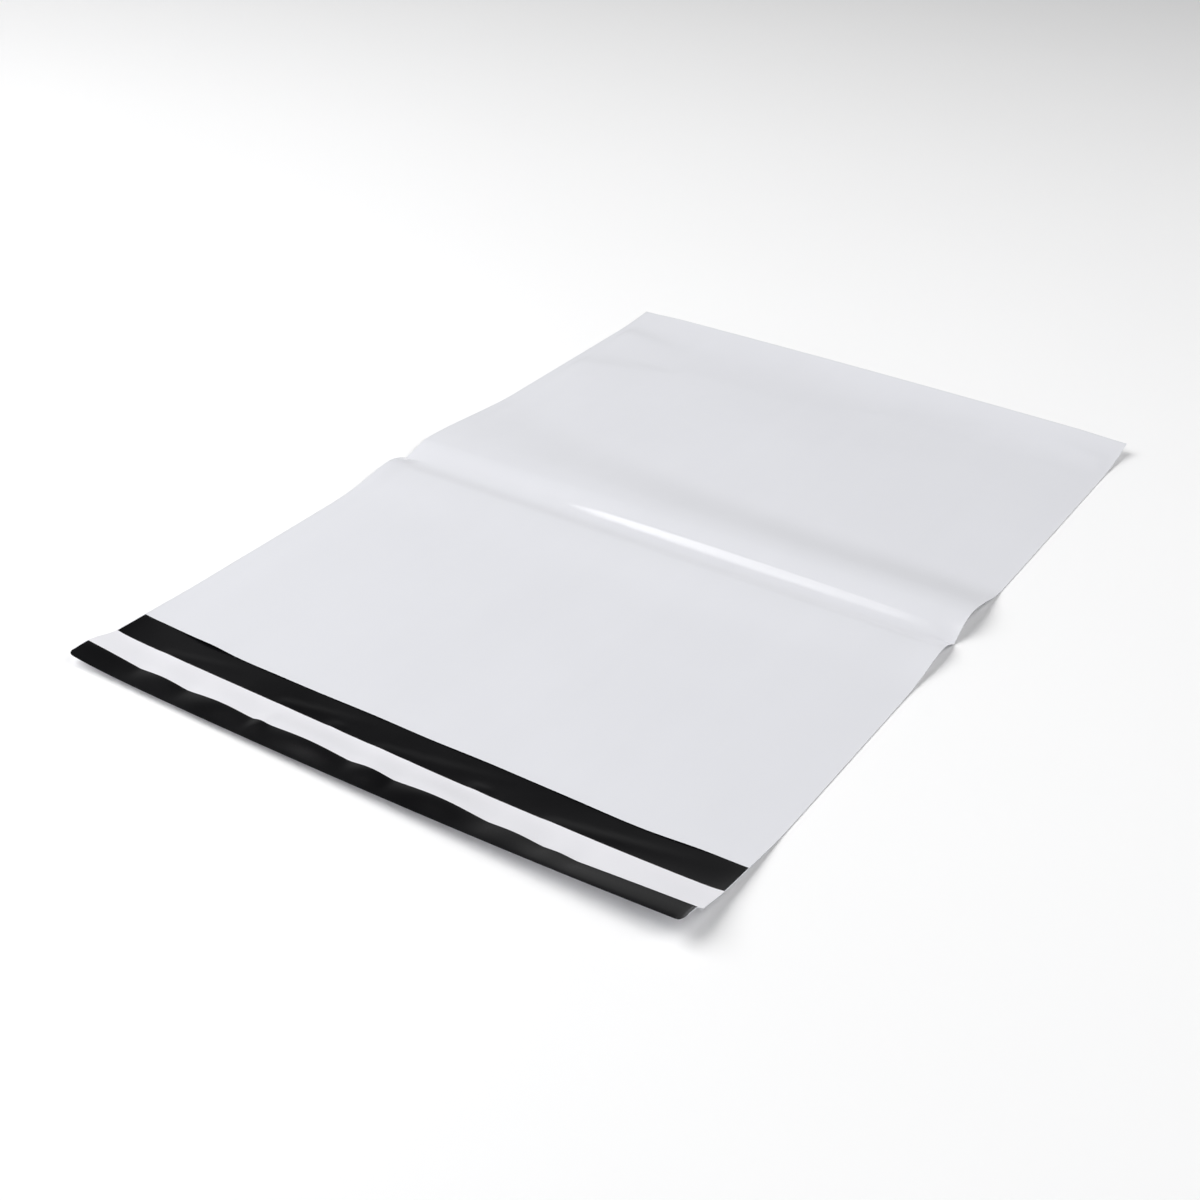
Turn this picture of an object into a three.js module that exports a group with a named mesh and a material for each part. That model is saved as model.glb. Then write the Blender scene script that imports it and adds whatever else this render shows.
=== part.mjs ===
// Poly mailer bag, empty, lying face up with its flap opened out.
// One length of two-layer film, white outside and black inside, is folded at the closed end
// and welded down both sides. The back panel runs on past the mouth as the sealing flap,
// which carries a strip of pressure-sensitive adhesive under a release liner.
// The bag has been folded in half and opened again, so a crease crosses it between two humps.
//
// Millimetres. X runs across the bag, Y from the flap's edge to the closed end, Z up.
// The origin is under the middle of the bag, on the surface that it lies on.

import * as THREE from "three";

// Bag
const BAG_WIDTH = 320;
const POCKET_LENGTH = 450;
const FLAP_LENGTH = 50;
const SIDE_WELD = 2;
const FLAP_CORNER_RADIUS = 3;

// Film, liner and adhesive
const OUTER_LAYER = 0.03;
const INNER_LAYER = 0.03;
const LINER_WIDTH = 17.5;
const LINER_SETBACK = 12.5;
const LINER_THICKNESS = 0.05;
const ADHESIVE_WIDTH = 12.5;
const ADHESIVE_THICKNESS = 0.05;

// Air between the two panels, and how far from the end, the mouth and the welds it changes
const PANEL_GAP = 0.5;
const END_GAP = 0.9;
const END_GAP_RUN = 30;
const MOUTH_GAP = 1.1;
const MOUTH_GAP_RUN = 35;
const WELD_SHOULDER = 28;

// Crease across the middle. Pairs are the values at the left and the right side.
// A hump peaks at its reach from the valley and has died away at its spread.
const CREASE_FROM_END = 250;
const CREASE_SKEW = 5;
const VALLEY_HEIGHT = [0.7, 0.6];
const VALLEY_RUN = 0.7;
const NEAR_HUMP = { height: [4.9, 4.3], reach: [18, 18], decay: [1.3, 1.5], spread: 75 };
const FAR_HUMP = { height: [5.2, 7.6], reach: [30, 18.5], decay: [0.85, 2.3], spread: 110 };

// Curl of the flap, which starts behind the mouth, and lift of the closed end
const CURL_BEHIND_MOUTH = 35;
const CURL_POWER = 1.6;
const FLAP_LIFT = 3;
const LEFT_CORNER_LIFT = 2.6;
const LEFT_CORNER_RUN = 18;
const RIGHT_CORNER_LIFT = 7.9;
const RIGHT_CORNER_RUN = 180;
const RIGHT_CORNER_POWER = 1.8;
const END_LIFT = [1.9, 5.9];
const END_BOW = 1;
const END_LIFT_RUN = 40;

// Ripples that the liner puts into the flap, and the lip of the mouth
const RIPPLES = 9;
const RIPPLE_HEIGHT = 0.7;
const RIPPLE_RUN = 16;
const LIP_RIPPLE_HEIGHT = 0.25;
const LIP_BULGE_HEIGHT = 1.3;
const LIP_BULGE_AT = -118;
const LIP_BULGE_RUN = 12;

// How finely the surfaces are divided. Rows are given as shares of the run that they cross.
const BODY_COLUMNS = 12;
const COLUMN_SPLIT = 3;
const LIP_ROWS = [0.2, 0.5, 1];
const CREASE_ROWS = 8;
const CREASE_ROW_POWER = 1.5;
const END_ROWS = [0, 0.35, 0.7];
const FOLD_STEPS = 6;
const CORNER_STEPS = 2;

const totalLength = POCKET_LENGTH + FLAP_LENGTH;
const film = OUTER_LAYER + INNER_LAYER;
const linerMiddle = LINER_SETBACK + LINER_WIDTH / 2;
const linerEnd = LINER_SETBACK + LINER_WIDTH;
const curlStart = FLAP_LENGTH + CURL_BEHIND_MOUTH;

const clamp = THREE.MathUtils.clamp;
const acrossBag = (pair, x) => THREE.MathUtils.lerp(pair[0], pair[1], x / BAG_WIDTH + 0.5);
const bell = (distance, run) => Math.exp(-((distance / run) ** 2));

// Heights. "along" is the distance from the flap's edge towards the closed end.

const creaseLine = (x) => totalLength - CREASE_FROM_END + (CREASE_SKEW * x) / BAG_WIDTH;

// A hump rises steeply from the valley, peaks at its reach and dies away to nothing.
function creaseHeight(x, along) {
  const offset = along - creaseLine(x);
  const hump = offset < 0 ? NEAR_HUMP : FAR_HUMP;
  const ratio = Math.abs(offset) / acrossBag(hump.reach, x);
  const shape = (ratio * Math.exp(1 - ratio)) ** acrossBag(hump.decay, x);
  const valley = acrossBag(VALLEY_HEIGHT, x) * bell(ratio, VALLEY_RUN);
  const fade = 1 - THREE.MathUtils.smoothstep(Math.abs(offset), hump.spread / 2, hump.spread);
  return (valley + acrossBag(hump.height, x) * shape) * fade;
}

// The flap's edge lifts a little in the middle and more at its two corners.
function flapHeight(x, along) {
  const fromLeft = x + BAG_WIDTH / 2;
  const toRight = clamp(1 - (BAG_WIDTH / 2 - x) / RIGHT_CORNER_RUN, 0, 1);
  const left = LEFT_CORNER_LIFT * Math.exp(-fromLeft / LEFT_CORNER_RUN);
  const right = RIGHT_CORNER_LIFT * toRight ** RIGHT_CORNER_POWER;
  const curl = clamp(1 - along / curlStart, 0, 1) ** CURL_POWER;
  return (FLAP_LIFT + left + right) * curl;
}

// Ripples run across the flap, are strongest under the liner and stop behind the mouth.
function rippleHeight(x, along) {
  const phase = (2 * Math.PI * RIPPLES * x) / BAG_WIDTH;
  const fade = clamp((curlStart - along) / CURL_BEHIND_MOUTH, 0, 1);
  const strength = bell(along - linerMiddle, RIPPLE_RUN) * fade;
  return (RIPPLE_HEIGHT * strength * (1 + Math.sin(phase))) / 2;
}

function endHeight(x, along) {
  const rise = clamp(1 - (totalLength - along) / END_LIFT_RUN, 0, 1);
  const bow = END_BOW * (1 - (x / (BAG_WIDTH / 2)) ** 2);
  return (acrossBag(END_LIFT, x) + bow) * rise ** 2;
}

// Underside of the back panel above the surface that the bag lies on.
function baseHeight(x, along) {
  return (
    creaseHeight(x, along) + flapHeight(x, along) + rippleHeight(x, along) + endHeight(x, along)
  );
}

// Air between the panels: none in the welds, most at the mouth.
function panelGap(x, along) {
  const fromWeld = BAG_WIDTH / 2 - SIDE_WELD - Math.abs(x);
  const shoulder = THREE.MathUtils.smoothstep(fromWeld, 0, WELD_SHOULDER);
  const towardsEnd = THREE.MathUtils.smoothstep(along, totalLength - END_GAP_RUN, totalLength);
  const lip = clamp(1 - (along - FLAP_LENGTH) / MOUTH_GAP_RUN, 0, 1) ** 2;
  const ripple = LIP_RIPPLE_HEIGHT * Math.sin((4 * Math.PI * RIPPLES * x) / BAG_WIDTH);
  const bulge = LIP_BULGE_HEIGHT * bell(x - LIP_BULGE_AT, LIP_BULGE_RUN);
  const opening = MOUTH_GAP - PANEL_GAP + ripple + bulge;
  const ending = (END_GAP - PANEL_GAP) * towardsEnd;
  return shoulder * (PANEL_GAP + ending + opening * lip);
}

// Columns across the bag, as shares of its half width. The welds' inner edges are columns.
function columnShares(split) {
  const weld = 1 - SIDE_WELD / (BAG_WIDTH / 2);
  const count = BODY_COLUMNS * split;
  const inner = Array.from({ length: count + 1 }, (_, i) => weld * ((2 * i) / count - 1));
  return [-1, ...inner, 1];
}
const bodyColumns = columnShares(1);
const fineColumns = columnShares(COLUMN_SPLIT);

// A station is one row of points across the film: along(x) gives its place, and width its
// half width, which only the flap's rounded corners narrow.
const straight = (along, columns, width = BAG_WIDTH / 2) => ({ along: () => along, columns, width });

function cornerStations() {
  return Array.from({ length: CORNER_STEPS }, (_, i) => {
    const turn = (i / CORNER_STEPS) * (Math.PI / 2);
    const inset = FLAP_CORNER_RADIUS * (1 - Math.sin(turn));
    return straight(FLAP_CORNER_RADIUS * (1 - Math.cos(turn)), fineColumns, BAG_WIDTH / 2 - inset);
  });
}

// The adhesive lies under the middle of the liner, whose two edges stay free.
const linerPlaces = [
  LINER_SETBACK,
  linerMiddle - ADHESIVE_WIDTH / 2,
  linerMiddle,
  linerMiddle + ADHESIVE_WIDTH / 2,
  linerEnd,
];
const linerStations = linerPlaces.map((along) => straight(along, fineColumns));

function flapStations() {
  const border = (FLAP_CORNER_RADIUS + LINER_SETBACK) / 2;
  return [
    ...cornerStations(),
    straight(FLAP_CORNER_RADIUS, fineColumns),
    straight(border, fineColumns),
    ...linerStations,
    straight((linerEnd + FLAP_LENGTH) / 2, fineColumns),
  ];
}

// Rows of the crease lie closer together towards its valley.
function creaseStations() {
  return Array.from({ length: 2 * CREASE_ROWS + 1 }, (_, i) => {
    const share = (i - CREASE_ROWS) / CREASE_ROWS;
    const { spread } = share < 0 ? NEAR_HUMP : FAR_HUMP;
    const offset = spread * Math.sign(share) * Math.abs(share) ** CREASE_ROW_POWER;
    return { along: (x) => creaseLine(x) + offset, columns: bodyColumns, width: BAG_WIDTH / 2 };
  });
}

// Where the film turns round the closed end, its middle is this far from the flap's edge.
const foldCentre = (x) => totalLength - film - panelGap(x, totalLength) / 2;

function pocketStations() {
  const [nearLip, ...otherLip] = LIP_ROWS.map((share) => FLAP_LENGTH + CURL_BEHIND_MOUTH * share);
  const endRows = END_ROWS.map((share) => totalLength - END_LIFT_RUN * (1 - share));
  return [
    straight(FLAP_LENGTH, fineColumns),
    straight(nearLip, fineColumns),
    ...otherLip.map((along) => straight(along, bodyColumns)),
    ...creaseStations(),
    ...endRows.map((along) => straight(along, bodyColumns)),
    { along: foldCentre, columns: bodyColumns, width: BAG_WIDTH / 2 },
  ];
}

// One row of points of a film surface that lies "depth" above the back panel's underside.
function backRow(station, depth) {
  return station.columns.map((share) => {
    const x = share * station.width;
    const along = station.along(x);
    return [x, along - totalLength / 2, baseHeight(x, along) + depth];
  });
}

// The same surface on the front panel, where the layers come in the opposite order.
function frontRow(station, depth) {
  return station.columns.map((share) => {
    const x = share * station.width;
    const along = station.along(x);
    const above = film + panelGap(x, along) + (film - depth);
    return [x, along - totalLength / 2, baseHeight(x, along) + above];
  });
}

// The same surface part of the way round the fold at the closed end.
function foldRow(turn, depth) {
  return bodyColumns.map((share) => {
    const x = (share * BAG_WIDTH) / 2;
    const along = foldCentre(x);
    const halfGap = panelGap(x, along) / 2;
    const radius = halfGap + film - depth;
    const y = along - totalLength / 2 + radius * Math.cos(turn);
    return [x, y, baseHeight(x, along) + film + halfGap + radius * Math.sin(turn)];
  });
}

const flap = flapStations();
const pocket = pocketStations();

// All rows of one film surface, from the flap's edge round the closed end to the mouth.
function filmSurface(depth) {
  const turns = Array.from(
    { length: FOLD_STEPS - 1 },
    (_, i) => ((i + 1) / FOLD_STEPS - 0.5) * Math.PI,
  );
  return [
    ...flap.map((station) => backRow(station, depth)),
    ...pocket.map((station) => backRow(station, depth)),
    ...turns.map((turn) => foldRow(turn, depth)),
    ...pocket.toReversed().map((station) => frontRow(station, depth)),
  ];
}

// Closed surfaces are lists of triangles whose equal points become one vertex.

// Triangles between two rows of points that run the same way across the bag.
function strip(first, second) {
  const triangles = [];
  let i = 0;
  let j = 0;
  while (i < first.length - 1 || j < second.length - 1) {
    const firstShare = (i + 1) / (first.length - 1);
    const secondShare = (j + 1) / (second.length - 1);
    const stepFirst = j === second.length - 1 || (i < first.length - 1 && firstShare <= secondShare);
    if (stepFirst) {
      triangles.push([first[i], first[i + 1], second[j]]);
      i += 1;
    } else {
      triangles.push([first[i], second[j + 1], second[j]]);
      j += 1;
    }
  }
  return triangles;
}

const strips = (rows) => rows.slice(1).flatMap((row, i) => strip(rows[i], row));
const flipped = (triangles) => triangles.map(([a, b, c]) => [a, c, b]);
const column = (rows, index) => rows.map((row) => row.at(index));

// A sheet between a lower and an upper surface with the same rows.
function sheetTriangles(lower, upper, upperFaces = strips(upper)) {
  return [
    ...flipped(strips(lower)),
    ...upperFaces,
    ...flipped(strip(column(lower, 0), column(upper, 0))),
    ...strip(column(lower, -1), column(upper, -1)),
    ...strip(lower[0], upper[0]),
    ...flipped(strip(lower.at(-1), upper.at(-1))),
  ];
}

function meshOf(name, triangles, colour, roughness) {
  const vertices = [];
  const numbers = new Map();
  const indexOf = (point) => {
    const key = point.map(Math.fround).join();
    if (!numbers.has(key)) {
      numbers.set(key, numbers.size);
      vertices.push(...point);
    }
    return numbers.get(key);
  };
  const faces = triangles
    .map((triangle) => triangle.map(indexOf))
    .filter(([a, b, c]) => a !== b && b !== c && c !== a);
  const geometry = new THREE.BufferGeometry();
  geometry.setAttribute("position", new THREE.Float32BufferAttribute(vertices, 3));
  geometry.setIndex(faces.flat());
  geometry.computeVertexNormals();
  const material = new THREE.MeshStandardMaterial({ color: colour, roughness, metalness: 0 });
  const mesh = new THREE.Mesh(geometry, material);
  mesh.name = name;
  return mesh;
}

// White layer: a plain sheet folded round the closed end.
function outerFilm() {
  const triangles = sheetTriangles(filmSurface(0), filmSurface(OUTER_LAYER));
  return meshOf("outer_film", triangles, 0xe4e5e9, 0.42);
}

// Black layer: the same sheet, whose two panels are one body in the side welds.
// Its inside surface there is left out, so only the part between the welds stays open.
function innerFilm() {
  const bonded = filmSurface(OUTER_LAYER);
  const inside = filmSurface(film);
  const flapAndMouth = inside.slice(0, flap.length + 1);
  const pocketInside = inside.slice(flap.length).map((row) => row.slice(1, -1));
  const insideFaces = [...strips(flapAndMouth), ...strips(pocketInside)];
  return meshOf("inner_film", sheetTriangles(bonded, inside, insideFaces), 0x1c1c1e, 0.3);
}

function adhesiveStrip() {
  const stations = linerStations.slice(1, -1);
  const lower = stations.map((station) => backRow(station, film));
  const upper = stations.map((station) => backRow(station, film + ADHESIVE_THICKNESS));
  return meshOf("adhesive_strip", sheetTriangles(lower, upper), 0xd9d3bd, 0.25);
}

function releaseLiner() {
  const underside = film + ADHESIVE_THICKNESS;
  const lower = linerStations.map((station) => backRow(station, underside));
  const upper = linerStations.map((station) => backRow(station, underside + LINER_THICKNESS));
  return meshOf("release_liner", sheetTriangles(lower, upper), 0xeaeaee, 0.55);
}

const mailer = new THREE.Group();
mailer.name = "poly_mailer_bag";
mailer.add(outerFilm(), innerFilm(), adhesiveStrip(), releaseLiner());

export default mailer;
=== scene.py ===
"""Poly mailer bag, empty, lying face up with its sealing flap opened out.

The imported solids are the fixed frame. The film, the liner and the adhesive are made again here
as fine surfaces close to their shape, with the small folds and ripples of real film.
Metres. X runs across the bag, Y from the flap's edge to the closed end, Z up.
"along" is the distance from the flap's edge towards the closed end, measured on the floor.
"""

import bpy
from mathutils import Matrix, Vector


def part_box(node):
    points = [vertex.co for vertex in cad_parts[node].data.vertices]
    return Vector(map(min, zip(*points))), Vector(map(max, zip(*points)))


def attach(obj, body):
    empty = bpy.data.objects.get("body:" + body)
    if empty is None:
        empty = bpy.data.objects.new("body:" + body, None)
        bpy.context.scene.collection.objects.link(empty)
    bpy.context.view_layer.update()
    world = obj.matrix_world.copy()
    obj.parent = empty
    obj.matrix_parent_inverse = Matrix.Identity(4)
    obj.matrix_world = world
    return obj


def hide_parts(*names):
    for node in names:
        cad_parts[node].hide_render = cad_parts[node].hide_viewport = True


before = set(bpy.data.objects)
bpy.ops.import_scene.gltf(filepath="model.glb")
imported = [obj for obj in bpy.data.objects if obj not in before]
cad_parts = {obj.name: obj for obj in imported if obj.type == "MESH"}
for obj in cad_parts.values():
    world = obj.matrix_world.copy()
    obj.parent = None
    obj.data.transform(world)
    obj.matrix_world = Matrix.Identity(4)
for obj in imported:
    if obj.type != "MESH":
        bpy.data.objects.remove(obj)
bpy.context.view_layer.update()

import math

import bpy
import numpy as np
from bpy.props import FloatProperty, FloatVectorProperty, PointerProperty
from bpy.types import Operator, Panel, PropertyGroup
from mathutils import Matrix

bl_info = {
    "name": "Poly mailer bag",
    "version": (1, 0, 0),
    "blender": (4, 5, 0),
    "location": "View3D > Sidebar > Mailer",
    "description": "Builds an empty poly mailer bag with its flap opened out",
    "category": "Object",
}

FILM_LOW, FILM_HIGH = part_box("outer_film")
MM = 0.001


def length(name, description, default):
    """A property for one length, in metres."""
    return FloatProperty(
        name=name, description=description, default=default, min=0.0, precision=5,
        unit="LENGTH", subtype="DISTANCE",
    )


def length_pair(name, description, default):
    """A property for a length at the bag's left side and at its right side, in metres."""
    return FloatVectorProperty(
        name=name, description=description, default=default, size=2, precision=5,
        unit="LENGTH", subtype="XYZ_LENGTH",
    )


def angle(name, description, degrees):
    """A property for one angle."""
    return FloatProperty(
        name=name, description=description, default=math.radians(degrees),
        unit="ROTATION", subtype="ANGLE",
    )


def colour(name, description, default):
    """A property for one colour, in linear light."""
    return FloatVectorProperty(
        name=name, description=description, default=default, size=3, min=0.0, max=1.0,
        subtype="COLOR",
    )


def share(name, description, default):
    """A property for a value from nothing to all."""
    return FloatProperty(
        name=name, description=description, default=default, min=0.0, max=1.0,
        subtype="FACTOR",
    )


class MAILER_PG_sizes(PropertyGroup):
    """Sizes of the pieces."""

    width: length("Width", "Across the bag", FILM_HIGH.x - FILM_LOW.x)
    overall: length("Overall length", "With the flap opened out", FILM_HIGH.y - FILM_LOW.y)
    flap: length("Flap", "Length of the flap past the mouth", 50 * MM)
    corner_radius: length("Corner radius", "Of the flap's two corners", 3 * MM)
    weld: length("Side weld", "Width of the weld down each side", 2 * MM)
    white_layer: length("White layer", "Thickness of the outer layer", 0.03 * MM)
    black_layer: length("Black layer", "Thickness of the inner layer", 0.03 * MM)
    liner_width: length("Liner width", "Of the release liner", 17.5 * MM)
    liner_setback: length("Liner setback", "From the flap's edge to the liner", 12.5 * MM)
    liner_thickness: length("Liner thickness", "Of the release liner", 0.05 * MM)
    adhesive_width: length("Adhesive width", "Of the strip under the liner", 12.5 * MM)
    adhesive_thickness: length("Adhesive thickness", "Under the liner", 0.05 * MM)
    bead_radius: length("Bead radius", "Of the melted edge along each side", 0.16 * MM)


class MAILER_PG_pocket(PropertyGroup):
    """Air between the panels, and the front panel's lip at the mouth."""

    gap: length("Gap", "Air between the two panels", 0.5 * MM)
    end_gap: length("Gap at the end", "Air between the panels at the closed end", 0.9 * MM)
    end_gap_run: length("End run", "How far from the end the gap changes", 30 * MM)
    mouth_gap: length("Gap at the mouth", "Air between the panels at the mouth", 0.3 * MM)
    mouth_run: length("Mouth run", "How far behind the mouth the gap changes", 35 * MM)
    shoulder: length("Weld shoulder", "From a weld to the full gap", 28 * MM)
    lip_ripple: length("Lip ripple", "Height of the small waves in the lip", 0.15 * MM)
    bulge: length("Lip bulge", "How far the lip gapes near its left end", 0.9 * MM)
    bulge_place: FloatProperty(
        name="Bulge place", description="Where across the bag the lip gapes",
        default=-118 * MM, unit="LENGTH", subtype="DISTANCE",
    )
    bulge_run: length("Bulge run", "Half width of the gaping part", 12 * MM)


class MAILER_PG_crease(PropertyGroup):
    """The fold across the middle. Pairs hold the left side's value, then the right's."""

    from_end: length("From the end", "From the closed end to the crease", 250.4 * MM)
    skew: length("Skew", "How far the crease shifts from left to right", 6.2 * MM)
    side_run: length("Side run", "How far the sides' deeper valley reaches inwards", 8 * MM)
    valley: length_pair("Valley height", "Above the floor at the sides", (0.6 * MM, 0.3 * MM))
    near_height: length_pair("Near height", "Of the near hump", (4.9 * MM, 5.0 * MM))
    near_reach: length("Near reach", "Valley to near crest", 15 * MM)
    near_run: length_pair("Near run", "Length of the near hump's foot", (24 * MM, 22 * MM))
    far_height: length_pair("Far height", "Of the far hump", (5.0 * MM, 7.8 * MM))
    far_reach: length_pair("Far reach", "Valley to far crest", (18 * MM, 19.5 * MM))
    far_foot: length("Far foot", "Far crest to the hump's foot", 40 * MM)
    left_foot: length("Left foot", "More of the far foot at the left side", 46 * MM)
    left_foot_run: length("Left foot run", "Where that has faded to a third", 110 * MM)
    middle_shift: length("Middle shift", "Valley of the middle nearer to the mouth", 2.2 * MM)
    middle_valley: length("Middle valley", "Its height above the floor", 1.5 * MM)
    middle_near: length_pair("Middle near height", "Near hump between", (2.8 * MM, 3.4 * MM))
    middle_near_reach: length_pair("Middle near reach", "To its crest", (12.5 * MM, 12 * MM))
    facet_start: length("Facet start", "From the middle valley to the flat facet", 3.8 * MM)
    facet_width: length("Facet width", "Of the facet at its widest", 5.2 * MM)
    facet_half: length("Facet half length", "Across the bag", 108 * MM)
    facet_place: length("Facet place", "Its middle, right of the bag's middle", 48 * MM)
    facet_slope: FloatProperty(
        name="Facet slope", description="How much steeper the facet is", default=0.25
    )


class MAILER_PG_curl(PropertyGroup):
    """Lift of the flap and of the closed end."""

    behind_mouth: length("Behind the mouth", "Where the flap's curl starts", 35 * MM)
    lift: length("Flap lift", "Of the flap's edge", 2.3 * MM)
    left_lift: length("Left corner lift", "Above the rest of the edge", 2.5 * MM)
    left_run: length("Left corner run", "Of the left corner's lift", 18 * MM)
    right_lift: length("Right corner lift", "Above the rest of the edge", 8.7 * MM)
    right_power: FloatProperty(
        name="Right power", description="Steepness of the rise to the right", default=2.6
    )
    rear_lift: length_pair("Rear lift", "Of the liner's rear edge", (1.2 * MM, 4.3 * MM))
    rear_corner: length("Rear corner", "More of it at the right side", 0.8 * MM)
    mouth_lift: length_pair("Mouth lift", "Of the mouth's two ends", (0.7 * MM, 2.9 * MM))
    roll_width: length("Roll width", "Of the right corner's edge that rolls up", 5 * MM)
    roll_pull: length("Roll pull", "How far that draws the edge in", 1.3 * MM)
    roll_lift: length("Roll lift", "How far it rises", 1.3 * MM)
    roll_end: length("Roll end", "Over which it ends before the liner", 2 * MM)
    end_lift: length_pair("End lift", "Of the closed end", (1.9 * MM, 5.9 * MM))
    end_bow: length("End bow", "Of the closed end's middle", 1 * MM)
    end_run: length("End run", "Of the closed end's lift", 40 * MM)


class MAILER_PG_looks(PropertyGroup):
    """Colours and gloss of the pieces and the floor."""

    white: colour("White film", "Outer layer", (0.757, 0.763, 0.8))
    black: colour("Black film", "Inner layer", (0.0045, 0.0045, 0.0052))
    liner: colour("Release liner", "White release film", (0.795, 0.793, 0.827))
    adhesive: colour("Adhesive", "Clear pale hot melt", (0.69, 0.64, 0.5))
    floor: colour("Floor", "Studio floor", (0.96, 0.96, 0.963))
    white_roughness: share("White roughness", "Of the outer layer", 0.2)
    black_roughness: share("Black roughness", "Of the inner layer", 0.19)


class MAILER_PG_stage(PropertyGroup):
    """Camera, lights and studio."""

    azimuth: angle("Azimuth", "Of the camera, from straight in front to the right", 30.907)
    elevation: angle("Elevation", "Of the camera above the floor", 31.837)
    roll: angle("Roll", "Of the camera about its own axis", 2.998)
    place: FloatVectorProperty(
        name="Camera place", description="Of the camera", size=3, precision=4,
        default=(0.3906, -0.7093, 0.46748), unit="LENGTH", subtype="TRANSLATION",
    )
    lens: FloatProperty(
        name="Lens", description="Focal length on a 36 mm sensor", default=54.964, unit="CAMERA"
    )
    left_power: FloatProperty(
        name="Left light", description="Large soft light at the left", default=44.4, unit="POWER"
    )
    right_power: FloatProperty(
        name="Right light", description="Large soft light at the right", default=26.8,
        unit="POWER",
    )
    strip_power: FloatProperty(
        name="Strip light", description="Long light overhead, which the crease mirrors",
        default=1.9, unit="POWER",
    )
    horizon: share("Horizon", "Brightness of the studio near the floor", 0.3)
    surround: share("Surround", "Brightness of the studio above that", 0.035)


class MAILER_PG_bag(PropertyGroup):
    """All the settings of one bag."""

    sizes: PointerProperty(type=MAILER_PG_sizes, name="Sizes", description="Of the pieces")
    pocket: PointerProperty(type=MAILER_PG_pocket, name="Pocket", description="Air in it")
    crease: PointerProperty(type=MAILER_PG_crease, name="Crease", description="Middle fold")
    curl: PointerProperty(type=MAILER_PG_curl, name="Curl", description="Flap and end")
    looks: PointerProperty(type=MAILER_PG_looks, name="Looks", description="Colours")
    stage: PointerProperty(type=MAILER_PG_stage, name="Stage", description="Camera and light")


# Shape of the bag. x and along are arrays of any one shape, and every height is in metres.


def smoothstep(low, high, value):
    """Rises from 0 at low to 1 at high, level at both ends: 3 p squared - 2 p cubed, p being
    the share of the way."""
    part = np.clip((value - low) / (high - low), 0.0, 1.0)
    return part * part * (3.0 - 2.0 * part)


def bell(distance, run):
    """e to the power of minus (distance / run) squared: 1 at no distance, and about a third
    at one run."""
    return np.exp(-((distance / run) ** 2))


def across(pair, x, bag):
    """Straight change from the pair's first value at the left side to its second at the right."""
    return pair[0] + (pair[1] - pair[0]) * (x / bag.sizes.width + 0.5)


def listed_place(table, x):
    """Where x lies in a table whose rows start with an x in millimetres: the number of the row
    before it, and the share of the way to the next row."""
    place = np.interp(x / MM, table[:, 0], np.arange(len(table)))
    number = np.minimum(place.astype(int), len(table) - 2)
    return number, place - number


def crease_line(x, bag):
    """Place of the valley along the bag: a straight line, a little askew."""
    crease = bag.crease
    return bag.sizes.overall - crease.from_end + crease.skew * x / bag.sizes.width


# The crease's far hump rises nearly straight, by this power, at the left side, and early, by
# the other power, at the right. EARLY_SHARE is the early rise's share at the two sides.
STRAIGHT_POWER = 7
EARLY_POWER = 0.7
EARLY_SHARE = (0.1, 1.0)
FACET_FADE_POWER = 0.25


def two_humps(offset, valley, near, far):
    """Heights over a valley and the humps beside it. Each hump is its height, its reach, its
    rise as a share against the share of the reach, and its fall as a share against the
    distance past its crest."""
    distance = np.abs(offset)
    heights = []
    for top, reach, rise, fall in (near, far):
        up = valley + (top - valley) * rise(np.minimum(distance / reach, 1.0))
        heights.append(np.where(distance < reach, up, top * fall(distance - reach)))
    return np.where(offset < 0, *heights)


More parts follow.
